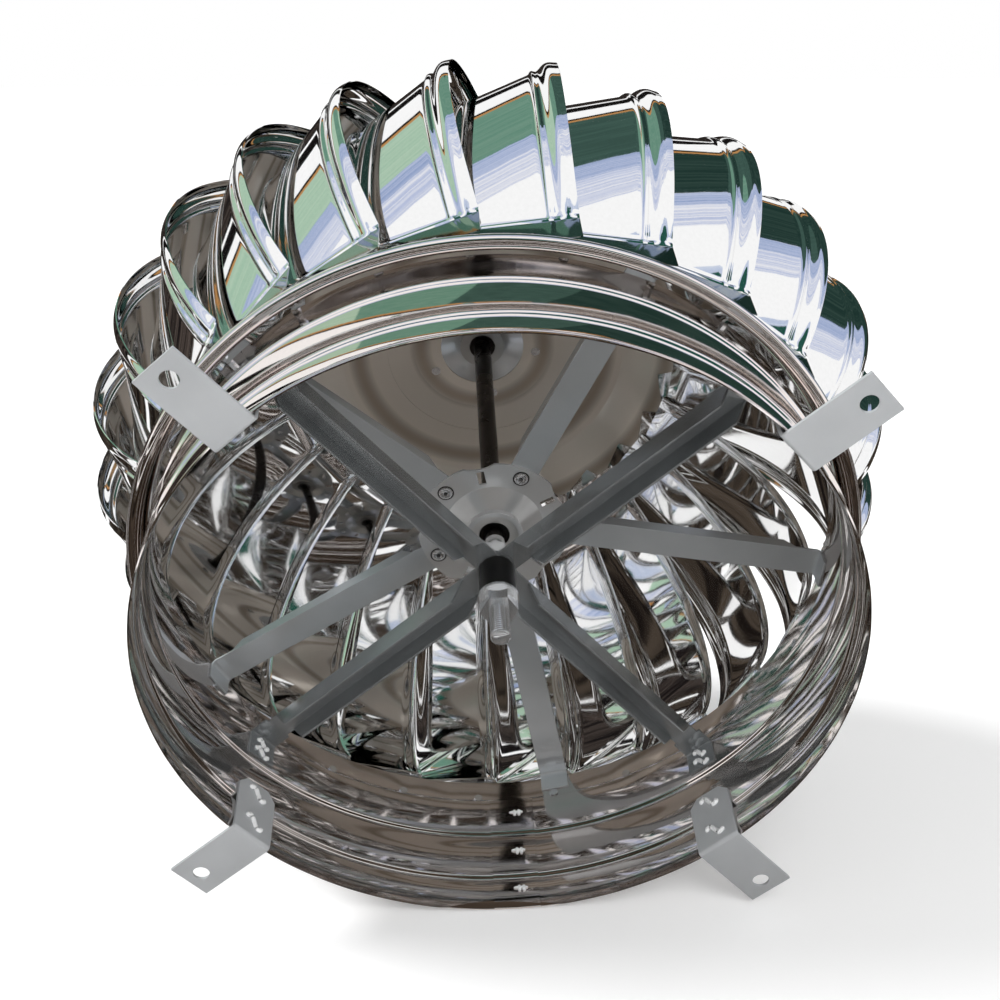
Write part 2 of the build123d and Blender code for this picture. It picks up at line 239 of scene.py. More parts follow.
def tinted(tree, mask, dark, light, low=mask_low, high=mask_high):
    """Colour ramp over a mask."""
    ramp = tree.nodes.new("ShaderNodeValToRGB")
    ramp.color_ramp.elements[0].position = low
    ramp.color_ramp.elements[0].color = (*dark, 1)
    ramp.color_ramp.elements[1].position = high
    ramp.color_ramp.elements[1].color = (*light, 1)
    tree.links.new(mask, ramp.inputs[0])
    return ramp.outputs[0]


def spread(tree, mask, low, high):
    """Value between low and high over a mask."""
    span = tree.nodes.new("ShaderNodeMapRange")
    span.inputs["From Min"].default_value = mask_low
    span.inputs["From Max"].default_value = mask_high
    span.inputs["To Min"].default_value = low
    span.inputs["To Max"].default_value = high
    tree.links.new(mask, span.inputs[0])
    return span.outputs[0]


def bumped(tree, shader, height, distance):
    """Bump from a height into the shader's normal."""
    bump = tree.nodes.new("ShaderNodeBump")
    bump.inputs["Distance"].default_value = distance
    bump.inputs["Strength"].default_value = 1.0
    tree.links.new(height, bump.inputs["Height"])
    tree.links.new(bump.outputs[0], shader.inputs["Normal"])


def polished_sheet(name, tone, wave_size, wave, smooth, worn, metallic=1.0):
    """Polished stainless sheet with soft rolling waves and a faint mottle."""
    material, shader = new_material(name, smooth, metallic)
    tree = material.node_tree
    sheet = use_group(tree, rolled_sheet, wave_size=wave_size, wave=wave)
    dark = tuple(value * 0.97 for value in tone)
    colour = tinted(tree, sheet.outputs["Mottle"], dark, tone)
    tree.links.new(colour, shader.inputs["Base Color"])
    tree.links.new(spread(tree, sheet.outputs["Mottle"], smooth, worn), shader.inputs["Roughness"])
    bumped(tree, shader, sheet.outputs["Height"], 0.001)
    return material


def plated(name, dark, light, smooth, worn, size=260.0, metallic=1.0, lift=0.000002):
    """Zinc-plated steel with cloudy spangle, the duller the less metallic."""
    material, shader = new_material(name, worn, metallic)
    tree = material.node_tree
    coat = use_group(tree, zinc_spangle, size=size)
    colour = tinted(tree, coat.outputs["Shade"], dark, light, 0.05, 0.95)
    tree.links.new(colour, shader.inputs["Base Color"])
    tree.links.new(spread(tree, coat.outputs["Shade"], smooth, worn), shader.inputs["Roughness"])
    bumped(tree, shader, coat.outputs["Height"], lift)
    return material


def painted_reflection_rings(material, spacing, dark, light):
    """Thin darker rings round the axis in the colour: a painted reflection of concentric bright and dark
    zones.
    """
    tree = material.node_tree
    place = tree.nodes.new("ShaderNodeTexCoord")
    rings = tree.nodes.new("ShaderNodeTexWave")
    rings.wave_type = "RINGS"
    rings.rings_direction = "Z"
    rings.inputs["Scale"].default_value = spacing
    tree.links.new(place.outputs["Object"], rings.inputs["Vector"])
    colour = tinted(tree, rings.outputs["Fac"], dark, light, 0.0, 0.30)
    tree.links.new(colour, tree.nodes["Principled BSDF"].inputs["Base Color"])


vane_finish = polished_sheet(
    "polished_vane", (0.93, 0.93, 0.93), wave_size=11.0, wave=0.35,
    smooth=0.03, worn=0.06,
)
collar_finish = polished_sheet(
    "polished_collar", (0.88, 0.82, 0.79), wave_size=14.0, wave=0.55,
    smooth=0.045, worn=0.075,
)
# Darker, greener copy of the vane sheet for the vanes' feet over the ring: painted shade.
painted_shade_foot_finish = polished_sheet(
    "vane_foot", (0.40, 0.44, 0.43), wave_size=11.0, wave=0.4,
    smooth=0.05, worn=0.09,
)
roof_finish = polished_sheet(
    "spun_roof", (0.95, 0.85, 0.73), wave_size=8.0, wave=0.5,
    smooth=0.12, worn=0.20, metallic=0.40,
)
# The roof's darker rings are colour only: painted reflection.
painted_reflection_rings(roof_finish, 7.0, (0.52, 0.44, 0.36), (0.99, 0.90, 0.79))
strap_finish = plated(
    "plated_feet", (0.50, 0.515, 0.53), (0.60, 0.615, 0.63),
    smooth=0.34, worn=0.50, size=900.0, metallic=0.35,
)
# Darker copy of the zinc plating for the cross bars: painted shade of the bars inside the collar.
painted_shade_bar_finish = plated(
    "plated_bars_painted_shade", (0.34, 0.36, 0.37), (0.44, 0.46, 0.47),
    smooth=0.16, worn=0.24, size=900.0, metallic=0.78,
)
arm_finish = plated(
    "plated_arms", (0.60, 0.63, 0.65), (0.70, 0.73, 0.75),
    smooth=0.16, worn=0.24, size=900.0, metallic=0.65,
)
plate_finish = plated(
    "plated_hub", (0.80, 0.81, 0.82), (0.95, 0.96, 0.96),
    smooth=0.14, worn=0.22, size=700.0, metallic=0.7,
)
bright_finish = plated(
    "plated_fasteners", (0.78, 0.80, 0.82), (0.95, 0.96, 0.97),
    smooth=0.08, worn=0.15, size=900.0, metallic=0.88,
)
shaft_finish = plated(
    "dark_shaft", (0.020, 0.018, 0.017), (0.07, 0.062, 0.058),
    smooth=0.22, worn=0.36, size=600.0,
)
# Dark bearing seal, also used for painted shade on the hub rivets.
seal_and_painted_shade_finish = plated(
    "bearing_seal_and_painted_shade", (0.030, 0.030, 0.030), (0.085, 0.083, 0.08),
    smooth=0.30, worn=0.42, size=600.0,
)
race_finish = plated(
    "bearing_race", (0.52, 0.51, 0.50), (0.78, 0.77, 0.75),
    smooth=0.12, worn=0.22, size=600.0, metallic=0.6,
)
weld_finish = plated(
    "weld_beads", (0.88, 0.89, 0.90), (0.98, 0.98, 0.98),
    smooth=0.18, worn=0.34, size=1400.0, metallic=0.1,
)


# Mesh making


def polar(radius, azimuth, height):
    """Point at a radius and an azimuth in degrees."""
    return (radius * cos(radians(azimuth)), radius * sin(radians(azimuth)), height)


def on_body(piece, body, slot, *nodes):
    """Puts a piece on its body, in place of CAD nodes; the slot is not used."""
    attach(piece, body)
    if nodes:
        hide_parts(*nodes)
    return piece


def make_piece(name, points, faces, finish, crease=35.0):
    """Mesh object from points in millimetres, smooth apart from creases."""
    mesh = bpy.data.meshes.new(name)
    mesh.from_pydata([Vector(point) * MM for point in points], [], faces)
    mesh.validate()
    shape = bmesh.new()
    shape.from_mesh(mesh)
    bmesh.ops.remove_doubles(shape, verts=shape.verts, dist=1e-7)
    bmesh.ops.recalc_face_normals(shape, faces=shape.faces)
    shape.to_mesh(mesh)
    shape.free()
    mesh.materials.append(finish)
    mesh.shade_smooth()
    mesh.set_sharp_from_angle(angle=radians(crease))
    piece = bpy.data.objects.new(name, mesh)
    bpy.context.scene.collection.objects.link(piece)
    return piece


def offset_line(line, thickness):
    """Line moved sideways by a thickness with mitred corners, to the right of its direction."""
    moved = []
    for index, (x, y) in enumerate(line):
        before = line[max(index - 1, 0)]
        after = line[min(index + 1, len(line) - 1)]
        first = Vector((x - before[0], y - before[1]))
        second = Vector((after[0] - x, after[1] - y))
        first = first.normalized() if first.length else second.normalized()
        second = second.normalized() if second.length else first
        side = Vector((first.y + second.y, -first.x - second.x)).normalized()
        reach = thickness / max(side.dot(Vector((first.y, -first.x))), 0.3)
        moved.append((x + side.x * reach, y + side.y * reach))
    return moved


def rounded_line(corners, radius, steps=6):
    """Line through corners with each inner corner turned into an arc of its own radius."""
    line = [corners[0]]
    for index in range(1, len(corners) - 1):
        here = Vector(corners[index])
        back = (Vector(corners[index - 1]) - here).normalized()
        on = (Vector(corners[index + 1]) - here).normalized()
        bend = radius[index - 1]
        half = back.angle(on) / 2
        start = here + back * (bend / tan(half))
        end = here + on * (bend / tan(half))
        centre = here + (back + on).normalized() * (bend / sin(half))
        first, last = start - centre, end - centre
        turn = first.angle_signed(last)
        for step in range(steps + 1):
            part = Matrix.Rotation(-turn * step / steps, 2) @ first
            line.append(tuple(centre + part))
    line.append(corners[-1])
    return line


def turned(profile, steps=fine_round, wobble=None):
    """Points and faces of a closed profile of (radius, height) turned about the axis."""
    count = len(profile)
    points, faces = [], []
    for step in range(steps):
        azimuth = 360 * step / steps
        for radius, height in profile:
            point = Vector(polar(radius, azimuth, height))
            points.append(wobble(point) if wobble else point)
    for step in range(steps):
        after = (step + 1) % steps
        for index in range(count):
            on = (index + 1) % count
            here, there = step * count, after * count
            faces.append((here + index, there + index, there + on, here + on))
    return points, faces


def bead_line(radius, centre, rise, half_width, steps=8):
    """Points of one smooth bead in a wall, from its lower side to its upper side."""
    line = []
    for step in range(steps + 1):
        part = step / steps
        swell = (1 - cos(2 * pi * part)) / 2
        line.append((radius + rise * swell, centre + half_width * (2 * part - 1)))
    return line


# Collar sheet and its lap seam

collar_line = [(mouth_radius, collar_bottom), (mouth_radius - 0.7, 4.2), (mouth_radius - 1.5, 7.0)]
collar_line.append((collar_radius, flare_top))
for bead_height in bead_heights:
    collar_line.extend(bead_line(collar_radius, bead_height, bead_rise, bead_half_width))
collar_line.append((collar_radius, collar_top))


def hand_rolled(point):
    """Shallow dents of a hand-rolled wall."""
    stretched = Vector((point.x, point.y, point.z * 0.4))
    push = noise.noise(point * 0.02) * 0.30 + noise.noise(stretched * 0.05) * 0.10
    flat = Vector((point.x, point.y, 0)).normalized()
    return point - flat * abs(push)


inside_line = [(radius - wall_sheet, height) for radius, height in collar_line]
collar = make_piece(
    "collar_wall", *turned(collar_line + inside_line[::-1], wobble=hand_rolled), collar_finish, 50
)
on_body(collar, "base", "polished_stainless", "collar")


def seam_strip():
    """Lap of the collar sheet, a second thickness between two azimuths inside the wall."""
    points, faces = [], []
    steps = 12
    lap = [(radius - wall_sheet + 0.02, height) for radius, height in collar_line]
    count = len(lap)
    for shift in (0.0, 0.7):
        for step in range(steps + 1):
            azimuth = seam_azimuth[0] + (seam_azimuth[1] - seam_azimuth[0]) * step / steps
            for radius, height in lap:
                points.append(hand_rolled(Vector(polar(radius - shift, azimuth, height))))
    layer = (steps + 1) * count
    for step in range(steps):
        for index in range(count - 1):
            corner = step * count + index
            faces.append((corner, corner + 1, corner + count + 1, corner + count))
            inner = layer + corner
            faces.append((inner, inner + count, inner + count + 1, inner + 1))
    for step in range(steps):
        for index in (0, count - 1):
            corner = step * count + index
            faces.append((corner, corner + count, layer + corner + count, layer + corner))
    for index in range(count - 1):
        for corner in (index, steps * count + index):
            faces.append((corner, corner + 1, layer + corner + 1, layer + corner))
    return points, faces


seam = make_piece("collar_lap_seam", *seam_strip(), collar_finish, 50)
on_body(seam, "base", "polished_stainless")

# Skirt ring sheet

rim_start = (rim_centre[0] - 1.0, rim_centre[1] + rim_radius + 0.6)
flare = rounded_line([(ring_outer, ring_top), (ring_outer, ring_flare_top), rim_start], [9.0], 8)
for step in range(1, 17):
    angle = radians(105 - 20 * step)
    flare.append((rim_centre[0] + rim_radius * cos(angle), rim_centre[1] + rim_radius * sin(angle)))
flare_inner = offset_line(flare, wall_sheet)


def springy_edge(point):
    """Light wave of the ring's free top edge."""
    rise = max(0.0, (point.z - 96) / 15)
    flat = Vector((point.x, point.y, 0)).normalized()
    swing = noise.noise(Vector((flat.x * 5, flat.y * 5, 2.0))) * 0.5 * rise
    return point - flat * abs(swing)


ring_wall = turned(flare + flare_inner[::-1], wobble=springy_edge)
ring = make_piece("skirt_ring_wall", *ring_wall, collar_finish, 50)
on_body(ring, "rotor", "polished_stainless", "skirt_ring")

# Vane sheets


def vane_edge(bulge):
    """Centre, radius, start and end angle of an arc from the foot of a vane to the roof."""
    foot = Vector((vane_foot, vane_crease))
    roof_end = Vector((roof_edge - roof_inset, roof_underside))
    chord = roof_end - foot
    radius = (chord.length_squared / 4 + bulge**2) / (2 * bulge)
    outwards = Vector((chord.y, -chord.x)).normalized()
    centre = foot + chord * 0.5 + outwards * (bulge - radius)
    first, last = foot - centre, roof_end - centre
    return centre, radius, atan2(first.y, first.x), atan2(last.y, last.x)


def vane_bead(sideways):
    """How far the vane's face drops below its plain outline at a distance from its outer edge."""
    level = bead_drop
    for centre, half_width, rise, flatness in vane_ridges:
        away = abs(sideways - centre) / half_width
        if away < 1:
            level -= rise * ((1 + cos(pi * away)) / 2) ** flatness
    return level


def vane_rows():
    """Rows of a vane, foot tab to roof tab: (radius, height) of both edges, share of bead, reach."""
    turn = radians(vane_arc_end - vane_arc_start)
    full_bulge = vane_arc_radius * (1 - cos(turn / 2))
    outer_edge, inner_edge = vane_edge(full_bulge), vane_edge(full_bulge - vane_lean)
    rows = []
    for height in (vane_tab_bottom, 93.3, 96.6):
        rows.append(([(vane_foot, height)] * 2, 0.0, vane_tab_width))
    for height in (vane_skirt_bottom, 103.0, 106.0, 109.0, 111.4):
        rows.append(([(vane_foot, height)] * 2, 0.0, vane_width))
    parts = [0.0, 0.004, 0.009, 0.012, 0.02] + [0.034 + 0.016 * step for step in range(60)] + [0.99, 1.0]
    for part in parts:
        ends = []
        for centre, radius, first, last in (outer_edge, inner_edge):
            angle = first + (last - first) * part
            ends.append((centre.x + radius * cos(angle), centre.y + radius * sin(angle)))
        full = min(1.0, max(0.0, (part - 0.004) / 0.006)) * min(1.0, (1 - part) / 0.04)
        rows.append((ends, full, vane_width))
    for step in range(1, 5):
        radius = roof_edge - roof_inset - vane_top_tab * step / 4
        rows.append(([(radius, roof_underside)] * 2, 0.0, vane_tab_width))
    return rows


def vane_mesh(azimuth):
    """One vane: a strip between a full arc and a flatter one, with its beads and its two tabs."""
    across = [0.0, 0.5, 1.1, 1.8, 2.6, 3.5, 4.5, 5.5, 6.5, 7.5, 8.4, 9.2, 9.9, 10.5, 11.0, 11.5, 12.0, 12.5]
    across += [13.0, 13.6, 14.2, 14.8, 15.4, 16.0, 16.6, 17.2, 18.2, 20.0, 24.0, 33.0, 40.0, 48.0, 56.0, 63.0]
    across += [68.3, 69.0, 69.7, 70.4, 71.1, 72.0]
    rows = vane_rows()
    along = Vector((cos(radians(azimuth)), sin(radians(azimuth)), 0))
    side = Vector((-along.y, along.x, 0))
    plain = []
    for ends, full, reach in rows:
        line = []
        for sideways in across:
            share = sideways / vane_width
            distance = ends[0][0] + (ends[1][0] - ends[0][0]) * share
            height = ends[0][1] + (ends[1][1] - ends[0][1]) * share
            out = vane_outer_edge - sideways
            line.append(along * distance + side * out + Vector((0, 0, height)))
        plain.append(line)
    outer, inner = [], []
    for row, (ends, full, reach) in enumerate(rows):
        before, after = plain[max(row - 1, 0)], plain[min(row + 1, len(rows) - 1)]
        for column, sideways in enumerate(across):
            left, right = max(column - 1, 0), min(column + 1, len(across) - 1)
            run = after[column] - before[column]
            width = plain[row][left] - plain[row][right]
            normal = width.cross(run).normalized()
            base = plain[row][column] - normal * (vane_bead(sideways) * full)
            outer.append(base)
            inner.append(base - normal * vane_sheet)
    count, total = len(across), len(across) * len(rows)
    cells, uses = [], {}
    for row in range(len(rows) - 1):
        reach = min(rows[row][2], rows[row + 1][2])
        for column in range(count - 1):
            if across[column + 1] > reach:
                continue
            corner = row * count + column
            cell = (corner, corner + 1, corner + count + 1, corner + count)
            cells.append(cell)
            for first, second in zip(cell, cell[1:] + cell[:1]):
                uses.setdefault(frozenset((first, second)), []).append((first, second))
    faces = cells + [tuple(total + value for value in cell[::-1]) for cell in cells]
    for ways in uses.values():
        if len(ways) == 1:
            first, second = ways[0]
            faces.append((second, first, total + first, total + second))
    return outer + inner, faces


for number in range(vane_count):
    azimuth = vane_azimuth + number * 360 / vane_count
    vane = make_piece(f"vane_sheet_{number + 1:02d}", *vane_mesh(azimuth), vane_finish, 40)
    vane.data.materials.append(painted_shade_foot_finish)
    # Faces below the ring's top take the darker foot copy: painted shade on the vanes' feet.
    for polygon in vane.data.polygons:
        polygon.material_index = 1 if polygon.center.z < (ring_top + 1.0) * MM else 0
    on_body(vane, "rotor", "polished_stainless", f"vane_{number + 1:02d}")

# Straps, bars, arms, shaft, rivets and welds


def softened(node, name, body, slot, finish, width, crease=30.0):
    """Copy of a CAD node with its flat faces joined and its edges rounded."""
    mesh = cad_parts[node].data.copy()
    mesh.name = name
    mesh.materials.clear()
    mesh.materials.append(finish)
    shape = bmesh.new()
    shape.from_mesh(mesh)
    bmesh.ops.remove_doubles(shape, verts=shape.verts, dist=1e-6)
    bmesh.ops.dissolve_limit(
        shape, angle_limit=radians(1.0), verts=shape.verts, edges=shape.edges
    )
    shape.to_mesh(mesh)
    shape.free()
    mesh.shade_smooth()
    mesh.set_sharp_from_angle(angle=radians(crease))
    piece = bpy.data.objects.new(name, mesh)
    bpy.context.scene.collection.objects.link(piece)
    round_edges = piece.modifiers.new("round_edges", "BEVEL")
    round_edges.width = width * MM
    round_edges.segments = 2
    round_edges.limit_method = "ANGLE"
    round_edges.angle_limit = radians(crease)
    round_edges.harden_normals = True
    return on_body(piece, body, slot, node)


for number in range(1, foot_count + 1):
    foot, strap = f"foot_bracket_{number}", f"foot_strap_{number}"
    softened(foot, strap, "base", "zinc_plated_steel", strap_finish, edge_round)
# The cross bars take the darker plating copy, with its painted shade.
for node, name in (("spider_bar_lower", "lower_cross_bar"), ("spider_bar_upper", "upper_cross_bar")):
    softened(node, name, "base", "zinc_plated_steel", painted_shade_bar_finish, edge_round)
for number in range(1, arm_count + 1):
    softened(f"arm_{number}", f"channel_arm_{number}", "rotor", "zinc_plated_steel", arm_finish, edge_round)

shaft_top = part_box("shaft")[1][2] / MM


def threaded_shaft():
    """Points and faces of a rod with cut threads at both ends."""
    heights = [shaft_bottom, shaft_bottom + 0.4]
    while heights[-1] < lower_thread_top:
        heights.append(heights[-1] + 0.35)
    heights += [70.0, 84.0, 96.0, 110.0, 117.0, 150.0, 200.0, 250.0, 300.0, shaft_top - upper_thread]
    while heights[-1] < shaft_top - 0.4:
        heights.append(heights[-1] + 0.35)
    heights[-1] = shaft_top
    columns = 40
    points, faces = [], []
    for row, height in enumerate(heights):
        cut = height < lower_thread_top or height > shaft_top - upper_thread
        end = min(height - shaft_bottom, shaft_top - height)
        for column in range(columns):
            turn = (height / thread_pitch - column / columns) % 1
            groove = (0.5 - abs(turn - 0.5)) * thread_depth if cut else 0.0
            radius = shaft_radius - groove - max(0.0, 1.3 - end) * 0.8
            points.append(polar(radius, 360 * column / columns, height))
    for row in range(len(heights) - 1):
        for column in range(columns):
            on = (column + 1) % columns
            corner = row * columns
            faces.append((corner + column, corner + on, corner + columns + on, corner + columns + column))
    faces.append(tuple(range(columns))[::-1])
    faces.append(tuple(len(points) - columns + column for column in range(columns)))
    return points, faces


rod = make_piece("threaded_shaft", *threaded_shaft(), bright_finish, 60)
rod.data.materials.append(shaft_finish)
for polygon in rod.data.polygons:
    height = polygon.center.z / MM
    polygon.material_index = 1 if dark_from < height < shaft_top - upper_thread else 0
on_body(rod, "base", "dark_steel", "shaft")


def blind_rivets(low, high):
    """Blind rivets round the hub, with a flanged hollow head below, a set head above, and a thin ring round
    each flange that carries a painted shadow.
    """
    profile = [(0.0, 1.2), (1.2, 1.2), (1.25, -1.0), (1.8, -1.5), (3.0, -1.4), (4.0, -0.7)]
    profile += [(4.2, -0.12), (5.0, -0.1), (5.0, 0.0), (2.0, 0.0)]
    outline = [(away, low + rise) for away, rise in profile]
    outline += [(2.0, high), (3.2, high), (3.1, high + 0.7), (1.8, high + 1.15), (0.0, high + 1.2)]
    size = len(outline)
    steps = 24
    points, faces = [], []
    for number in range(hub_rivet_count):
        azimuth = hub_rivet_azimuth + 360 * number / hub_rivet_count
        middle = Vector(polar(hub_rivet_circle, azimuth, 0))
        base = len(points)
        for step in range(steps):
            angle = 2 * pi * step / steps
            for away, height in outline:
                points.append(middle + Vector((away * cos(angle), away * sin(angle), height)))
        for step in range(steps):
            after = (step + 1) % steps
            for index in range(size - 1):
                a, b = base + step * size + index, base + after * size + index
                faces.append((a, a + 1, b + 1, b))
    return points, faces


def from_rivet(point):
    """Distance of a point from the axis of the nearest hub rivet."""
    found = []
    for number in range(hub_rivet_count):
        turned_by = radians(hub_rivet_azimuth + 360 * number / hub_rivet_count)
        across = point.x / MM - hub_rivet_circle * cos(turned_by)
        up = point.y / MM - hub_rivet_circle * sin(turned_by)
        found.append(hypot(across, up))
    return min(found)


hub_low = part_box("lower_bearing_plate")[1][2] / MM - 1.5
hub_rivets = make_piece("hub_blind_rivets", *blind_rivets(hub_low, hub_low + 3.0), bright_finish, 45)
# The floor of each rivet's hole and the thin ring round each flange take the dark seal material: painted
# shade in the hole and painted shadow round the flange.
hub_rivets.data.materials.append(seal_and_painted_shade_finish)
for polygon in hub_rivets.data.polygons:
    nearest = from_rivet(polygon.center)
    below = polygon.center.z / MM < hub_low + 1.3
    dark = below and (nearest < rivet_hole or nearest > rivet_flange)
    polygon.material_index = 1 if dark else 0
on_body(hub_rivets, "rotor", "zinc_plated_steel", "lower_plate_rivets")


def weld_run(line, radius, seed):
    """Points and faces of a lumpy weld bead along a line of points."""
    sides = 8
    points, faces = [], []
    for index, point in enumerate(line):
        here = Vector(point)
        ahead = Vector(line[min(index + 1, len(line) - 1)]) - Vector(line[max(index - 1, 0)])
        ahead.normalize()
        across = ahead.orthogonal().normalized()
        other = ahead.cross(across)
        taper = min(1.0, 0.35 + 0.65 * min(index, len(line) - 1 - index))
        for turn_step in range(sides):
            angle = 2 * pi * turn_step / sides
            lump = 1 + 0.35 * noise.noise(Vector((index * 0.9, turn_step * 0.7, seed)))
            points.append(here + (across * cos(angle) + other * sin(angle)) * radius * taper * lump)
    for index in range(len(line) - 1):
        for turn_step in range(sides):
            on = (turn_step + 1) % sides
            a, b = index * sides, (index + 1) * sides
            faces.append((a + turn_step, a + on, b + on, b + turn_step))
    faces.append(tuple(range(sides))[::-1])
    faces.append(tuple(len(points) - sides + turn_step for turn_step in range(sides)))
    return points, faces


def joined(runs):
    """Several meshes as one."""
    points, faces = [], []
    for run_points, run_faces in runs:
        base = len(points)
        points += run_points
        faces += [tuple(base + value for value in face) for face in run_faces]
    return points, faces


def squiggle(azimuth, distance, height, width, rise, slant):
    """Wavy line on an upright face that looks inwards, as a welder's hand leaves it."""
    along = Vector((cos(radians(azimuth)), sin(radians(azimuth)), 0))
    side = Vector((-along.y, along.x, 0))
    line = []
    for step in range(17):
        part = step / 16 - 0.5
        swing = sin(part * 2 * pi * 1.25) * rise
        line.append(along * distance + side * (part * width) + Vector((0, 0, height + swing + part * slant)))
    return line


foot_welds, tab_welds = [], []
for number in range(foot_count):
    azimuth = foot_azimuth + 90 * number
    for place, height in enumerate(foot_weld_heights):
        line = squiggle(azimuth, leg_face, height, 13.0, 2.2, 7.0)
        foot_welds.append(weld_run(line, 1.6, number * 3.1 + place))
    for place, (height, width) in enumerate(tab_weld_sizes):
        line = squiggle(azimuth, tab_face, height, width, 1.8, 4.0)
        tab_welds.append(weld_run(line, 1.5, number * 5.3 + place))
on_body(make_piece("foot_weld_beads", *joined(foot_welds), weld_finish, 60), "base", "zinc_plated_steel")
on_body(make_piece("cross_bar_weld_beads", *joined(tab_welds), weld_finish, 60), "base", "zinc_plated_steel")

seam_welds = []
for number, height in enumerate(seam_weld_heights):
    for shift in (-0.55, 0.25):
        turned_to = seam_weld_azimuth + shift
        line = [polar(seam_face, turned_to, height + 4.5 * (step / 8 - 0.5)) for step in range(9)]
        seam_welds.append(weld_run(line, 1.0, number + shift))
    line = [polar(seam_face, seam_weld_azimuth - 1.3 + 2.6 * step / 8, height + 0.4) for step in range(9)]
    seam_welds.append(weld_run(line, 0.8, number + 7.7))
on_body(make_piece("seam_spot_welds", *joined(seam_welds), weld_finish, 60), "base", "polished_stainless")

carried = {
    "spacer_bush": seal_and_painted_shade_finish,
    "lower_nut": bright_finish,
    "lower_washer": bright_finish,
    "upper_washer": bright_finish,
    "upper_nut": bright_finish,
    "top_nut": bright_finish,
    "shaft_clip": shaft_finish,
    "lower_bearing_inner_ring": seal_and_painted_shade_finish,
    "upper_bearing_inner_ring": seal_and_painted_shade_finish,
    "lower_bearing_outer_ring": race_finish,
    "upper_bearing_outer_ring": race_finish,
    "lower_bearing_plate": plate_finish,
    "upper_bearing_plate": plate_finish,
    "roof_plate": roof_finish,
    "roof_dish": roof_finish,
    "bearing_cap": collar_finish,
    "upper_plate_rivets": bright_finish,
    "vane_foot_rivets": bright_finish,
}
for node, finish in carried.items():
    for material_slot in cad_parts[node].material_slots:
        material_slot.material = finish

# Studio

picture_right = Vector((0.99745, 0.05887, -0.04032))
picture_down = Vector((-0.07135, 0.8229, -0.56368))
picture_forward = Vector((0.0, 0.56512, 0.82501))
camera_place = Vector((4.91361, -545.25636, -641.38548)) * MM
lens_data = bpy.data.cameras.new("product_camera")
lens_data.sensor_width = 36.0
lens_data.lens = 55.8
lens_data.clip_start = 0.05
lens_data.clip_end = 60.0
camera = bpy.data.objects.new("product_camera", lens_data)
bpy.context.scene.collection.objects.link(camera)
turn = Matrix((picture_right, -picture_down, -picture_forward)).transposed()
camera.matrix_world = Matrix.Translation(camera_place) @ turn.to_4x4()
bpy.context.scene.camera = camera

# The cowl lies on the edge of its collar and on its vanes, so the floor is tilted to its own axis
floor_azimuth = 93.4
collar_touch = Vector(polar(200.4, floor_azimuth, 2.0)) * MM
vane_touch = Vector(polar(255.0, floor_azimuth, 213.0)) * MM
floor_point = collar_touch
floor_across = Vector((sin(radians(floor_azimuth)), -cos(radians(floor_azimuth)), 0))
floor_normal = floor_across.cross(vane_touch - collar_touch).normalized()
if floor_normal.dot(picture_down) > 0:
    floor_normal = -floor_normal


def plain_emission(name, colour):
    """Material that shows one plain colour whatever lights it."""
    material = bpy.data.materials.new(name)
    material.use_nodes = True
    tree = material.node_tree
    tree.nodes.clear()
    glow = tree.nodes.new("ShaderNodeEmission")
    glow.name = "Emission"
    glow.inputs["Color"].default_value = (*colour, 1)
    glow.inputs["Strength"].default_value = 1.0
    out = tree.nodes.new("ShaderNodeOutputMaterial")
    tree.links.new(glow.outputs[0], out.inputs["Surface"])
    return material


def floor_directions():
    """The two directions in the floor: away from the camera, and to the right of the picture."""
    right = picture_right - floor_normal * picture_right.dot(floor_normal)
    right.normalize()
    away = right.cross(floor_normal).normalized()
    if away.dot(picture_forward) < 0:
        away = -away
    return away, right


def make_floor():
    """White floor that keeps the shadow and isn't seen from behind."""
    away, right = floor_directions()
    mesh = bpy.data.meshes.new("white_floor")
    steps = 12
    points, faces = [], []
    for row in range(steps + 1):
        for column in range(steps + 1):
            points.append(floor_point + right * (column / steps - 0.5) * 9 + away * (row / steps - 0.35) * 9)
    for row in range(steps):
        for column in range(steps):
            corner = row * (steps + 1) + column
            faces.append((corner, corner + 1, corner + steps + 2, corner + steps + 1))
    mesh.from_pydata(points, [], faces)
    if mesh.polygons[0].normal.dot(floor_normal) < 0:
        mesh.flip_normals()
    material, shader = new_material("white_floor", 0.9, 0.0)
    tree = material.node_tree
    shader.inputs["Base Color"].default_value = (0.93, 0.93, 0.93, 1)
    shader.inputs["Specular IOR Level"].default_value = 0.0
    shader.inputs["Emission Color"].default_value = (1, 1, 1, 1)
    path = tree.nodes.new("ShaderNodeLightPath")
    lift = maths(tree, "MULTIPLY", path.outputs["Is Camera Ray"], floor_lift)
    tree.links.new(lift, shader.inputs["Emission Strength"])
    clear = tree.nodes.new("ShaderNodeBsdfTransparent")
    behind = tree.nodes.new("ShaderNodeNewGeometry")
    blend = tree.nodes.new("ShaderNodeMixShader")
    out = tree.nodes["Material Output"]
    tree.links.new(behind.outputs["Backfacing"], blend.inputs[0])
    tree.links.new(shader.outputs[0], blend.inputs[1])
    tree.links.new(clear.outputs[0], blend.inputs[2])
    tree.links.new(blend.outputs[0], out.inputs["Surface"])
    mesh.materials.append(material)
    floor = bpy.data.objects.new("white_floor", mesh)
    bpy.context.scene.collection.objects.link(floor)
    return floor


make_floor()

# Cards round the cowl, seen only in its metal. Their edges are drawn in degrees on a map of the
# sky over the picture: right of its top, and from its top towards the far side
object_middle = Vector((0, 0, 0.19))
picture_up = -picture_down
card_reach = 2.6


def sky_way(right, far):
    """Direction of a point on the sky map."""
    fall = radians(hypot(right, far))
    if fall == 0:
        return picture_up.copy()
    side = sin(fall) / hypot(right, far)
    return picture_right * right * side + picture_forward * far * side + picture_up * cos(fall)


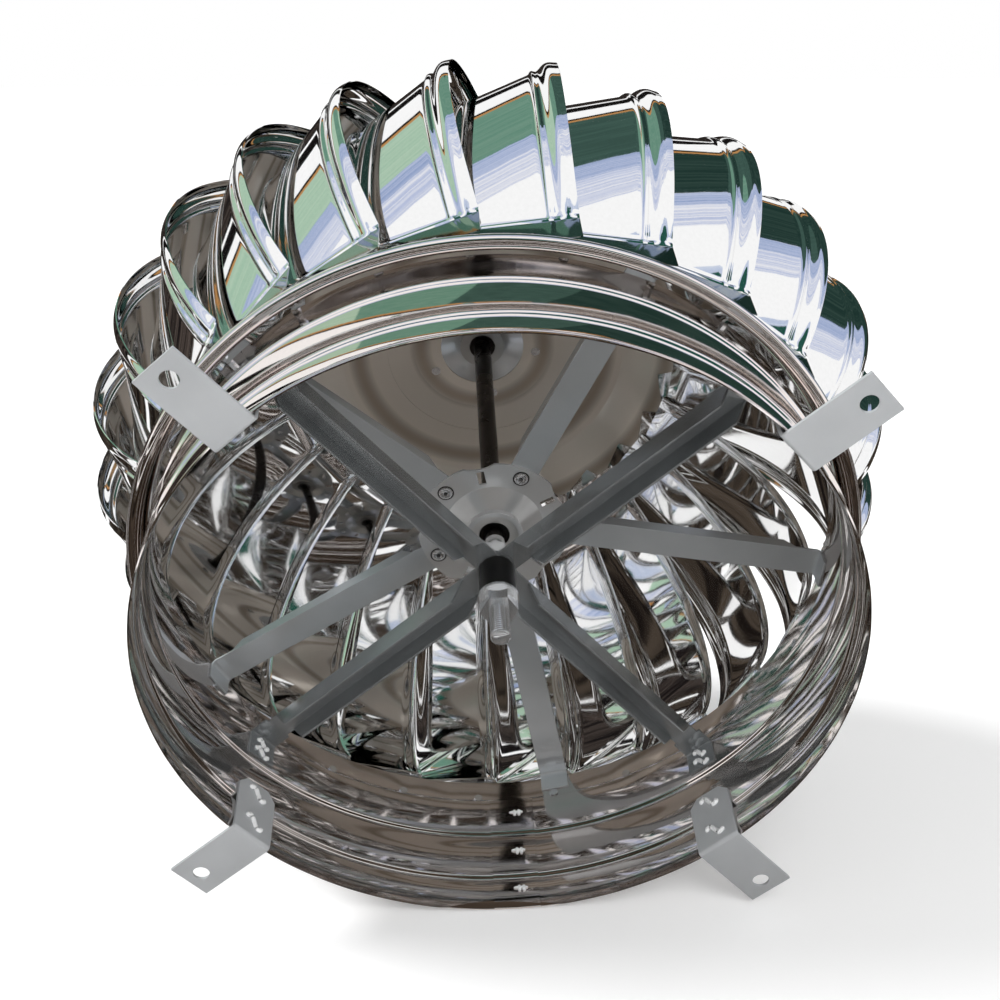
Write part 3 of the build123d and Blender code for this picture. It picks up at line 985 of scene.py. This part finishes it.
def between(edge, count):
    """Evenly spread points along an edge of a card."""
    spans = [hypot(b[0] - a[0], b[1] - a[1]) for a, b in zip(edge, edge[1:])]
    whole = sum(spans)
    found = []
    for step in range(count + 1):
        left = whole * step / count
        index = 0
        while index < len(spans) - 1 and left > spans[index]:
            left -= spans[index]
            index += 1
        part = min(left / spans[index], 1.0)
        a, b = edge[index], edge[index + 1]
        found.append((a[0] + (b[0] - a[0]) * part, a[1] + (b[1] - a[1]) * part))
    return found


def hide_card(card):
    """Leaves a card only in the reflections of the metal."""
    card.visible_camera = False
    card.visible_diffuse = False
    card.visible_shadow = False
    card.visible_volume_scatter = False


def streaked_emission(name, colour, other):
    """Material that shows streaks of two colours along a card."""
    material = plain_emission(name, colour)
    tree = material.node_tree
    place = tree.nodes.new("ShaderNodeTexCoord")
    span = tree.nodes.new("ShaderNodeMapping")
    span.inputs["Scale"].default_value = (2.2, 9.0, 1.0)
    tree.links.new(place.outputs["UV"], span.inputs["Vector"])
    streak = tree.nodes.new("ShaderNodeTexNoise")
    streak.inputs["Scale"].default_value = 2.4
    streak.inputs["Detail"].default_value = 5.0
    tree.links.new(span.outputs[0], streak.inputs["Vector"])
    colours = tinted(tree, streak.outputs[0], colour, other, 0.42, 0.62)
    tree.links.new(colours, tree.nodes["Emission"].inputs["Color"])
    return material


def reflection_card(name, colour, far_edge, near_edge, other=None):
    """Card between two edges on the sky map, unseen by the camera; streaked with another colour if given."""
    columns, rows = 48, 8
    points, faces = [], []
    top, bottom = between(far_edge, columns), between(near_edge, columns)
    for row in range(rows + 1):
        part = row / rows
        for a, b in zip(top, bottom):
            way = sky_way(a[0] + (b[0] - a[0]) * part, a[1] + (b[1] - a[1]) * part)
            points.append(object_middle + way * card_reach)
    for row in range(rows):
        for column in range(columns):
            corner = row * (columns + 1) + column
            faces.append((corner, corner + 1, corner + columns + 2, corner + columns + 1))
    mesh = bpy.data.meshes.new(name)
    mesh.from_pydata(points, [], faces)
    sheet_map = mesh.uv_layers.new(name="along_and_across")
    for loop in mesh.loops:
        row, column = divmod(loop.vertex_index, columns + 1)
        sheet_map.data[loop.index].uv = (column / columns, row / rows)
    mesh.materials.append(streaked_emission(name, colour, other) if other else plain_emission(name, colour))
    card = bpy.data.objects.new(name, mesh)
    bpy.context.scene.collection.objects.link(card)
    hide_card(card)
    return card


orange_edge = [
    (-88, 8), (-68, 16), (-53, 17), (-35, 21), (-15, 29), (1, 31),
    (17, 33.5), (21, 44), (25, 53), (33, 60), (46, 72),
]
green_edge = [(-90, -12), (-62, -10), (-39, -6), (-18, -5), (3, -5), (22, 1), (39, 18), (54, 27), (72, 38)]
white_edge = [
    (-96, 10), (-68, 25), (-52, 33), (-30, 43), (-11, 45.5),
    (1, 43.5), (13, 45), (17, 56), (21, 66), (30, 76),
]
foot_edge = [(-62, -36), (-38, -42), (-13, -45), (14, -42), (38, -31), (60, -16), (80, 0)]


def beyond(edge, right, far):
    """The same edge moved on the sky map."""
    return [(a + right, b + far) for a, b in edge]


def stretch(edge, first, last):
    """Part of an edge between two shares of its length."""
    spread_out = between(edge, 100)
    return spread_out[int(first * 100) : int(last * 100) + 1]


green_left = stretch(orange_edge, 0, 0.4), stretch(green_edge, 0, 0.34)
green_near = stretch(orange_edge, 0.4, 0.52), stretch(green_edge, 0.34, 0.5)
green_next = stretch(orange_edge, 0.52, 0.63), stretch(green_edge, 0.5, 0.64)
green_right = stretch(orange_edge, 0.63, 1), stretch(green_edge, 0.64, 1)
line_band = beyond(orange_edge, -0.9, 3.4), beyond(orange_edge, -0.5, 1.7)
pale_blue_band = beyond(green_edge, 1, -9), beyond(green_edge, 2, -24)
foot_blue_band = beyond(foot_edge, 0, -7), beyond(foot_edge, 0, -11)
foot_green_band = beyond(foot_edge, 0, -11), beyond(foot_edge, 0, -24)
far_black_band = beyond(white_edge, 0, 60), beyond(white_edge, 3, 10)
reflection_card("pale_green_card", (0.38, 0.56, 0.42), *green_left, (0.46, 0.62, 0.48))
reflection_card("green_card", (0.13, 0.27, 0.20), *green_near, (0.17, 0.31, 0.235))
reflection_card("dark_green_card", (0.042, 0.085, 0.07), *green_next, (0.055, 0.11, 0.09))
reflection_card("black_green_card", (0.014, 0.036, 0.030), *green_right, (0.03, 0.06, 0.05))
reflection_card("orange_card", (0.50, 0.25, 0.09), beyond(orange_edge, -0.5, 1.7), orange_edge)
reflection_card("black_line_card", (0.01, 0.008, 0.006), *line_band)
reflection_card("blue_card", (0.30, 0.38, 0.60), green_edge, beyond(green_edge, 1, -9), (0.56, 0.62, 0.80))
reflection_card("pale_blue_card", (0.50, 0.56, 0.76), *pale_blue_band, (0.90, 0.90, 0.93))
reflection_card("foot_blue_card", (0.42, 0.50, 0.70), *foot_blue_band, (0.75, 0.80, 0.90))
reflection_card("foot_green_card", (0.012, 0.07, 0.05), *foot_green_band, (0.03, 0.11, 0.085))
reflection_card("black_band_card", (0.008, 0.007, 0.007), beyond(white_edge, 2, 7.5), white_edge)
reflection_card("far_black_card", (0.008, 0.007, 0.007), *far_black_band, (0.05, 0.04, 0.035))
left_far = [(-60, 118), (-48, 92), (-40, 74), (-33, 62)]
left_near = [(-150, -30), (-126, -16), (-108, -6), (-96, 4)]
reflection_card("left_black_card", (0.010, 0.008, 0.008), left_far, left_near, (0.09, 0.07, 0.06))
near_far = [(-96, -34), (-60, -62), (-30, -66), (0, -68), (30, -64), (60, -52), (100, -20)]
for number, (first, last) in enumerate(((0, 17), (21, 33), (35.5, 58), (62, 96))):
    name = f"camera_side_card_{number + 1}"
    band = beyond(near_far, 0, -first), beyond(near_far, 0, -last)
    reflection_card(name, (0.016, 0.012, 0.010), *band, (0.11, 0.085, 0.065))
left_side_far, left_side_near = [(-108, -4), (-98, -16), (-90, -30)], [(-150, -30), (-132, -50), (-112, -70)]
reflection_card("left_side_card", (0.012, 0.010, 0.009), left_side_far, left_side_near, (0.10, 0.08, 0.065))
reflection_card("right_blue_card", (0.02, 0.20, 0.55), [(50, 76), (58, 70)], [(52, 66), (60, 62)])
right_far, right_near = [(40, 100), (72, 84), (100, 60)], [(50, 84), (66, 72), (84, 52)]
reflection_card("right_dark_card", (0.02, 0.018, 0.017), right_far, right_near, (0.20, 0.18, 0.17))


def ground_card(number, nearest, farthest, low, high):
    """Dark strip just over the floor, seen only in the metal, between two distances from the cowl."""
    away, right = floor_directions()
    name = f"ground_card_{number}"
    lift = floor_normal * 0.004
    start = floor_point + lift
    columns, rows = 24, 6
    points, faces = [], []
    for row in range(rows + 1):
        along = nearest + (farthest - nearest) * row / rows
        for column in range(columns + 1):
            points.append(start + right * (low + (high - low) * column / columns) + away * along)
    for row in range(rows):
        for column in range(columns):
            corner = row * (columns + 1) + column
            faces.append((corner, corner + 1, corner + columns + 2, corner + columns + 1))
    mesh = bpy.data.meshes.new(name)
    mesh.from_pydata(points, [], faces)
    sheet_map = mesh.uv_layers.new(name="along_and_across")
    for loop in mesh.loops:
        row, column = divmod(loop.vertex_index, columns + 1)
        sheet_map.data[loop.index].uv = (column / columns, row / rows)
    mesh.materials.append(streaked_emission(name, (0.009, 0.007, 0.006), (0.075, 0.058, 0.044)))
    card = bpy.data.objects.new(name, mesh)
    bpy.context.scene.collection.objects.link(card)
    hide_card(card)


ground_strips = (
    (-3.4, -2.1), (-2.03, -1.5), (-1.44, -1.08), (-1.05, -0.80), (-0.765, -0.56), (-0.545, -0.42),
    (-0.395, -0.30), (-0.285, 0.02), (0.04, 0.2), (0.22, 0.5), (0.56, 1.1), (1.3, 2.8),
)
for number, (nearest, farthest) in enumerate(ground_strips):
    ground_card(number + 1, nearest, farthest, -2.2, 2.2)


def soft_lamp(name, way, reach, size, power):
    """Square soft lamp in a direction right, up and away, turned to the cowl."""
    data = bpy.data.lights.new(name, "AREA")
    data.shape = "SQUARE"
    data.size = size
    data.energy = power
    lamp = bpy.data.objects.new(name, data)
    bpy.context.scene.collection.objects.link(lamp)
    mixed = Vector(way).normalized()
    out = picture_right * mixed.x + picture_up * mixed.y + picture_forward * mixed.z
    lamp.location = object_middle + out * reach
    lamp.rotation_mode = "QUATERNION"
    lamp.rotation_quaternion = (-out).to_track_quat("-Z", "Y")
    lamp.visible_glossy = False
    return lamp


def key_light(way, power, softness):
    """Distant soft key light from a direction right, up and away."""
    data = bpy.data.lights.new("key_light", "SUN")
    data.energy = power
    data.angle = radians(softness)
    lamp = bpy.data.objects.new("key_light", data)
    bpy.context.scene.collection.objects.link(lamp)
    mixed = Vector(way).normalized()
    out = picture_right * mixed.x + picture_up * mixed.y + picture_forward * mixed.z
    lamp.rotation_mode = "QUATERNION"
    lamp.rotation_quaternion = (-out).to_track_quat("-Z", "Y")
    lamp.visible_glossy = False


key_light(way=(-0.95, 1.1, -0.3), power=2.6, softness=24.0)
soft_lamp("fill_lamp", way=(0.3, 0.4, -1.2), reach=2.4, size=1.2, power=27.0)


def light_world():
    """White world for the camera and for reflections, and a softer one for the floor and shade."""
    world = bpy.data.worlds.new("studio_white")
    bpy.context.scene.world = world
    world.use_nodes = True
    tree = world.node_tree
    shine = tree.nodes["Background"]
    shine.inputs["Color"].default_value = (1, 1, 1, 1)
    path = tree.nodes.new("ShaderNodeLightPath")
    seen = maths(tree, "MAXIMUM", path.outputs["Is Camera Ray"], path.outputs["Is Glossy Ray"])
    seen = maths(tree, "MAXIMUM", seen, path.outputs["Is Transmission Ray"])
    level = tree.nodes.new("ShaderNodeMapRange")
    level.inputs["To Min"].default_value = shade_level
    level.inputs["To Max"].default_value = 1.0
    tree.links.new(seen, level.inputs[0])
    tree.links.new(level.outputs[0], shine.inputs["Strength"])


light_world()
bpy.context.scene.view_settings.view_transform = "Standard"
